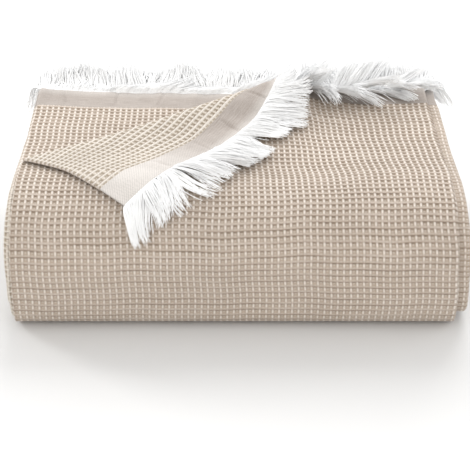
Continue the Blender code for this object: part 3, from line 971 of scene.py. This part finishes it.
# Lays a fringe's tufts. Each bends in the plane of out and up, from one angle at its root to
# another at its tip, and leans to the side: its steps' cosines and sines, summed. Angles in the
# table are in degrees.
def makeFringe(name, span, panel, upper, habit, make, seed):
    luck = np.random.default_rng(seed)
    yarnCount, pointCount = make["yarns"], make["points"]
    roots = np.arange(span[0] + fringe["tuftEvery"] / 2, span[1], fringe["tuftEvery"])
    count = len(roots)
    shape = (count, yarnCount)
    roots = roots + luck.normal(0, fringe["tuftJitter"], count) * fringe["tuftEvery"]
    places, *habits = np.array(habit).T
    start, finish, lean, reach, loose = (np.interp(roots, places, each) for each in habits)
    clumps = span[0] + np.cumsum(luck.uniform(*fringe["clump"], count))
    clump = np.searchsorted(clumps, roots)
    middle = np.bincount(clump, roots) / np.maximum(np.bincount(clump), 1)
    together = luck.normal(0, 1, (4, count + 1))[:, clump]
    apart = luck.normal(0, 1, (4, count))

    # The value, and more or less by the luck of its clump and its tuft.
    def varied(value, spread, kind):
        return value + fringe[spread][0] * together[kind] + fringe[spread][1] * apart[kind]

    start = start + varied(0, "startSpread", 0) * loose
    finish = finish + varied(0, "finishSpread", 1) * loose
    lean = varied(lean, "leanSpread", 2)
    strays = luck.uniform(0, 1, shape) < fringe["strays"]
    ownFinish, ownLean = (
        np.where(strays, luck.normal(0, far, shape), luck.normal(0, near, shape))
        for far, near in (fringe["finishStray"], fringe["leanStray"])
    )
    ownFinish[:, 0], ownLean[:, 0] = 0, 0
    finish, lean = finish[:, None] + ownFinish, lean[:, None] + ownLean
    reach = reach * varied(1, "reachSpread", 3)
    ragged = 1 - fringe["ragged"] * luck.uniform(0, 1, shape) ** fringe["raggedPower"]
    ragged[:, 0] = fringe["coreLength"]
    lengths = fringe["length"] * reach[:, None] * ragged

    # The curve that a tuft's yarns follow.
    t = np.linspace(0, 1, pointCount)
    angle = (finish - start[:, None])[..., None] * t ** fringe["bendPower"]
    angle = np.radians(start[:, None, None] + angle)
    stride = lengths[..., None] / (pointCount - 1) / np.hypot(1, lean)[..., None]
    moving = stride * (t > 0)
    out = np.cumsum(np.cos(angle) * moving, axis=2)
    lift = np.cumsum(np.sin(angle) * moving, axis=2)

    # Each yarn's place on the tuft's oval, which is widest and highest midway.
    turn = np.linspace(-fringe["ovalPast"], math.pi + fringe["ovalPast"], yarnCount)
    turn = turn + luck.normal(0, fringe["ovalJitter"], shape)
    turn[:, 0] = -math.pi / 2
    root, more, power, less = fringe["widthForm"]
    half = fringe["tuftWidth"] / 2 * luck.uniform(*fringe["widthVary"], count)[:, None, None]
    half = half * (root + more * np.sin(math.pi * t**power) - less * t**3)
    root, more, power, tip = fringe["heightForm"]
    high = fringe["tuftHeight"] / 2 * (root + more * np.sin(math.pi * t**power) + tip * t)
    high = high * luck.uniform(*fringe["heightVary"], shape)[..., None]
    phase = varied(0, "curlSpread", 3)[:, None, None]
    aside = np.cos(turn)[..., None] * half + lean[..., None] * stride * np.arange(pointCount)
    aside = aside + fringe["curl"] * t * np.sin(fringe["curlTurn"] * t + phase)
    aside = aside + fringe["gather"] * (middle[clump] - roots)[:, None, None] * smoothStep(t)
    above = high * (1 + np.sin(turn)[..., None])
    raised = (clump % 2 * fringe["overlap"])[:, None, None]
    above = above + raised * smoothStep(fringe["overlapRise"] * t)
    out = out - np.sin(angle) * above - fringe["rootInset"]
    lift = lift + np.cos(angle) * above
    onCloth = (out < 0) | ((roots < corner["end"])[:, None, None] & (panel == 0) & upper)
    least = fringe["leastLift"] + fringe["liftShare"] * above
    lift = np.where(onCloth, np.maximum(lift, least), lift)
    rising = smoothStep((out + fringe["rootInset"]) / fringe["rootRise"])
    rising = rising * smoothStep(1 - out / fringe["rootFade"])
    lift = lift + fringe["rootHump"] * rising - fringe["rootBury"] * (t == 0)

    # From the cloth's end into space, with the cloth's own plane as out and its normal as up.
    u = roots[:, None, None] + aside
    w = -fringe["pastEnd"] - out if upper else pathLength + fringe["pastEnd"] + out
    place, normal = placeCloth(u, w, panel), clothNormal(u, w, panel)
    normal = normal * np.where(normal[:, :, 1:2, 2:] < 0, -1.0, 1.0)
    further = w - shortStep if upper else w + shortStep
    outward = unit(placeCloth(u, further, panel) - place)
    beside = unit(placeCloth(u + shortStep, w, panel) - place)
    paths = (place + normal * lift[..., None]).reshape(-1, pointCount, 3)
    # Upwards on a tuft: its curve's normal, turned a little to each side round its oval.
    bend, side = angle[..., None], np.cos(turn)[..., None, None]
    upwards = normal * np.cos(bend) - outward * np.sin(bend)
    upwards = upwards + beside * side * fringe["roofTurn"]
    radius = luck.uniform(*fringe["yarnVary"], len(paths))[:, None]
    radius = radius * (1 - fringe["yarnTaper"] * t**2) * make["thick"]
    core = fringe["coreRoot"] + (1 - fringe["coreRoot"]) * smoothStep(t / fringe["coreRise"])
    core = core * (1 - fringe["coreTaper"] * t**2)
    yarnHalf, yarnThick = fringe["yarnHalf"] * radius, fringe["yarnThick"] * radius
    yarnHalf[::yarnCount] = fringe["coreHalf"] * core
    yarnThick[::yarnCount] = fringe["coreThick"] * core
    upwards = upwards.reshape(-1, pointCount, 3)
    points, faces, normals = ribbons(paths, upwards, yarnHalf, yarnThick)
    made = meshObject(name, points, faces, [whiteYarn], normals=normals)
    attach(made, "root")
    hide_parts("fringe_upper" if upper else "fringe_under")
    print(f"{name}: {count} tufts, {len(faces)} triangles")
    return made


# How the tufts of each fringe lie: place along the end, angle at root and tip, lean, length,
# and how much the angles differ.
topHabit = (
    (0.00, 5, -30, -0.78, 0.54, 6),
    (0.025, 8, -28, -0.72, 0.84, 7),
    (0.045, 8, -28, -0.62, 0.92, 8),
    (0.052, 12, -25, 0.05, 1.05, 10),
    (0.12, 14, -22, 0.15, 1.06, 10),
    (0.16, 14, -22, 0.30, 1.06, 10),
    (0.24, 16, -20, 0.50, 1.06, 10),
    (0.265, 15, -18, 0.80, 1.06, 8),
    (0.28, 8, -5, 1.20, 1.04, 6),
    (0.292, 10, 0, 1.30, 1.04, 6),
    (0.303, 80, 190, 0.80, 1.10, 10),
    (0.3315, 112, 210, 0.80, 1.20, 16),
    (0.3393, 60, 0, 0.90, 0.90, 12),
    (0.3471, 112, 210, 0.90, 1.20, 16),
    (0.3549, 62, 5, 0.90, 0.88, 12),
    (0.3627, 110, 205, 0.95, 1.22, 16),
    (0.3705, 58, 0, 0.90, 0.88, 12),
    (0.3783, 110, 205, 0.95, 1.22, 16),
    (0.3939, 108, 200, 0.90, 1.22, 16),
    (0.4017, 45, 0, 1.10, 0.95, 12),
    (0.4095, 100, 190, 1.20, 1.15, 16),
    (0.4173, 25, -40, 1.20, 1.00, 12),
    (0.4251, 5, -70, 1.20, 1.00, 12),
    (0.44, -10, -100, 1.05, 1.00, 12),
)
underStart = panelStarts[1]
underHabit = (
    (underStart, -15, -70, -0.75, 0.75, 10),
    (underStart + 0.06, -5, -50, -0.30, 0.80, 12),
    (underStart + 0.12, 5, -50, 0.20, 0.80, 13),
    (underStart + 0.18, 5, -45, -0.70, 0.85, 13),
    (underStart + 0.26, 8, -42, -1.50, 0.95, 13),
    (underStart + 0.36, 5, -42, -1.30, 0.95, 11),
    (underStart + 0.40, 0, -52, -0.50, 0.95, 11),
    (underStart + 0.42, -4, -75, 0.05, 1.15, 8),
    (underStart + 0.444, -18, -104, 0.19, 1.42, 8),
)
innerHabit = ((0.0, 5, 0, 0.0, 0.85, 14), (clothWidth, 5, 0, 0.0, 0.85, 14))

# Yarns in a tuft, points along a yarn and how thick yarns are. Fewer and thicker where hidden.
topMake = {"yarns": 46, "points": 9, "thick": 1.0}
underMake = {"yarns": 36, "points": 8, "thick": 1.0}
innerMake = {"yarns": 10, "points": 5, "thick": 1.7}
topSpan, underSpan = (0.0, panelRuns[0]), (underStart, underStart + panelRuns[1])
innerSpan, lowerSpan = (panelStarts[2], clothWidth), (0.0, clothWidth)
topFringe = makeFringe("top_fringe", topSpan, 0, True, topHabit, topMake, 11)
underFringe = makeFringe("under_panel_fringe", underSpan, 1, True, underHabit, underMake, 12)
innerFringe = makeFringe("inner_fringe", innerSpan, None, True, innerHabit, innerMake, 13)
lowerFringe = makeFringe("lower_fringe", lowerSpan, None, False, innerHabit, innerMake, 14)

# The floor, the light and the camera. Places and sizes in metres, power in watts.
studio = {
    "floorSize": 12,
    "floor": (0.69, 0.69, 0.69),
    "floorRoughness": 0.8,
    "surround": 0.98,
    "softboxes": (  # name, place, aim, size, power and colour
        ("key", (0.6, 3.0, 2.6), (0, 0, 0.1), 2.6, 112.0, (1, 1, 1)),
        ("fill", (-0.5, -2.4, 1.5), (0, 0, 0.08), 2.2, 19.0, (1, 0.94, 0.84)),
        ("right side", (2.4, 0.6, 1.0), (0, 0, 0.1), 1.6, 8.0, (1, 1, 1)),
        ("left side", (-2.6, 1.5, 1.15), (0, 0, 0.1), 0.8, 42.0, (1, 1, 1)),
    ),
    "camera": (0.0025, -1.271, 0.789),
    "elevation": 31.0,
    "focalPixels": 1330.0,  # of an image of imageWidth
    "imageWidth": 470,
    "sensorWidth": 36.0,
}
bpy.ops.mesh.primitive_plane_add(size=studio["floorSize"], location=(0, 0, 0))
floor = bpy.context.object
floor.name = "floor"
floorDesk = nodeDesk("pale floor")
floorDesk.link(studio["floor"], floorDesk.shader.inputs["Base Color"])
floorDesk.shader.inputs["Roughness"].default_value = studio["floorRoughness"]
floor.data.materials.append(floorDesk.material)

world = bpy.data.worlds.new("studio")
bpy.context.scene.world = world
world.use_nodes = True
world.node_tree.nodes["Background"].inputs[0].default_value = (1, 1, 1, 1)
world.node_tree.nodes["Background"].inputs[1].default_value = studio["surround"]


# A square soft light at one point, turned so that its straight line to another is its axis.
def softbox(name, place, aim, size, power, colour):
    lamp = bpy.data.lights.new(name, "AREA")
    lamp.color = colour
    lamp.shape = "SQUARE"
    lamp.size = size
    lamp.energy = power
    made = newObject(name, lamp)
    made.location = place
    made.rotation_euler = (Vector(aim) - Vector(place)).to_track_quat("-Z", "Y").to_euler()


for light in studio["softboxes"]:
    softbox(*light)
bpy.context.scene.view_settings.view_transform = "Standard"

camera = bpy.data.cameras.new("camera")
camera.sensor_width = studio["sensorWidth"]
camera.lens = studio["focalPixels"] / studio["imageWidth"] * camera.sensor_width
cameraObject = newObject("camera", camera)
cameraObject.location = studio["camera"]
cameraObject.rotation_euler = (math.radians(90 - studio["elevation"]), 0, 0)
bpy.context.scene.camera = cameraObject
print("studio made")
